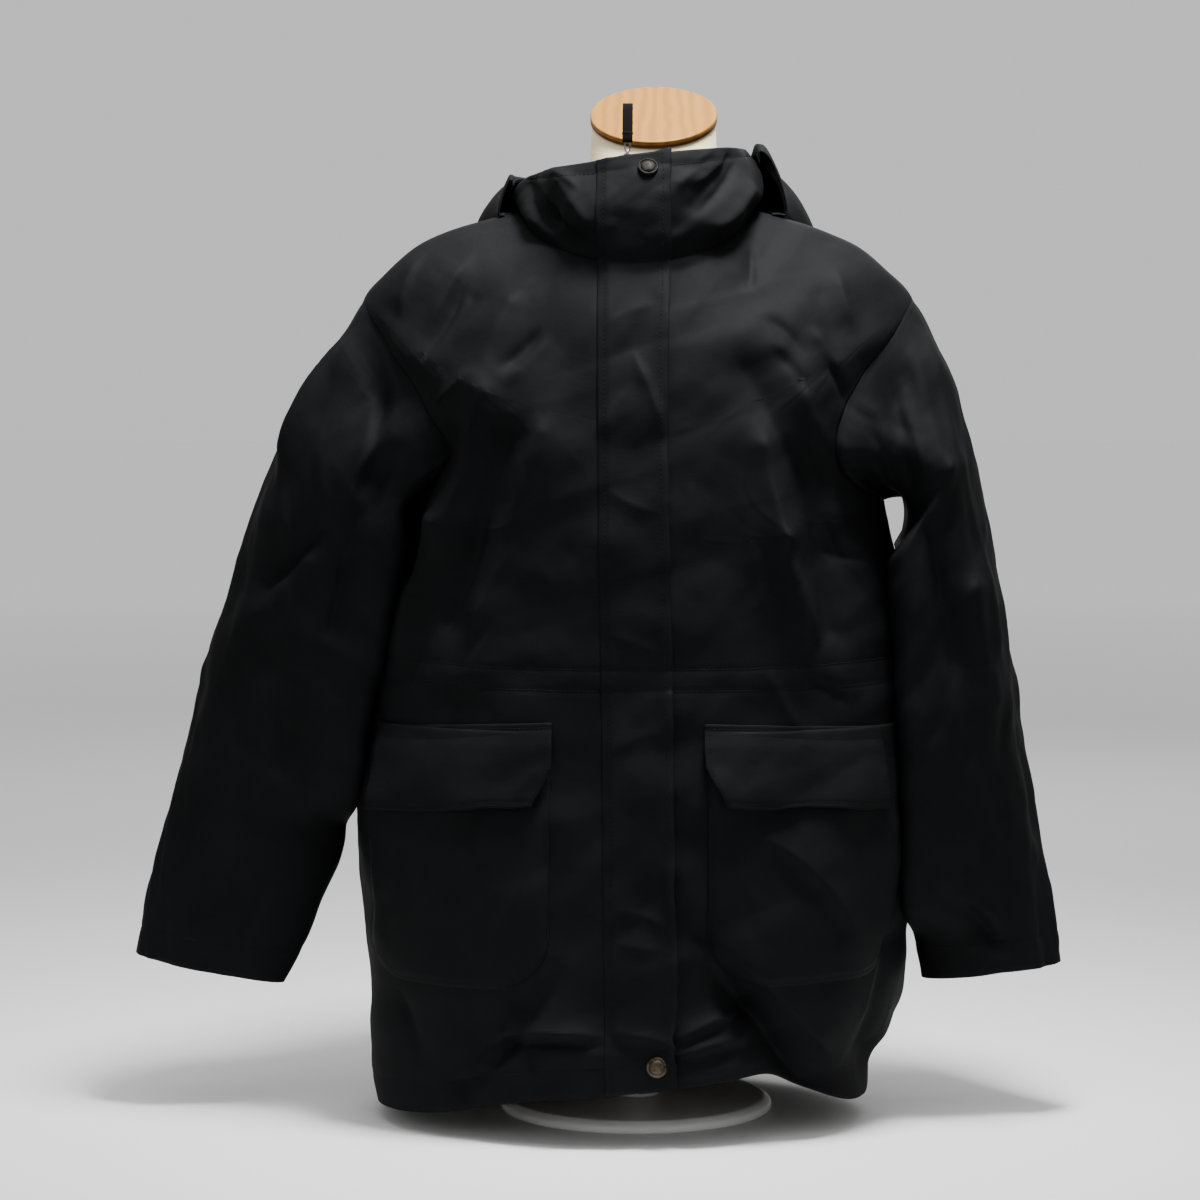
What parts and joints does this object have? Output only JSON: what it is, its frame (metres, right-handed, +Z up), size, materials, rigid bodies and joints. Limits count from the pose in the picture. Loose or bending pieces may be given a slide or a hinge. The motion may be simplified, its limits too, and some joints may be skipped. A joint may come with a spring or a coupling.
{
  "type": "rain jacket on dress form",
  "caption": "Hooded rain jacket with flapped patch pockets, zip and storm flap, on a limbless dress form with a pole and round base.",
  "frame": {"origin": "on the floor under the dress form's pole and torso, on the underside of the round base", "axes": "+Z up, the jacket's front faces -Y, the wearer's left is +X"},
  "size_m": [0.7651, 0.343, 0.8415],
  "materials": {
    "shell": "near-black blue-grey coated plain weave, soft sheen",
    "trim": "black woven tape, dull",
    "snap": "antique gunmetal press snap",
    "steel": "bright nickel-plated zip hardware",
    "form": "ivory, matt",
    "wood": "light varnished wood"
  },
  "bodies": {
    "root": {"front_left": "shell", "front_right": "shell", "back": "shell", "sleeve_left": "shell", "sleeve_right": "shell", "collar": "shell", "hood": "shell", "storm_flap": "shell", "pocket_left": "shell", "pocket_right": "shell", "pocket_flap_left": "shell", "pocket_flap_right": "shell", "zip_tape": "trim", "zip_slider": "steel", "snap_top": "snap", "snap_hem": "snap", "form_torso": "form", "form_pole": "form", "form_base": "form", "form_neck_cap": "wood"},
    "zip_pull": {"zip_pull_link": "steel", "zip_pull_tape": "trim"}
  },
  "joints": [
    {"name": "zip_pull_hinge", "type": "hinge", "parent": "root", "child": "zip_pull", "pos_m": [-0.004, -0.0895, 0.78096], "axis": [1, 0, 0], "range_deg": [0, 98]}
  ]
}
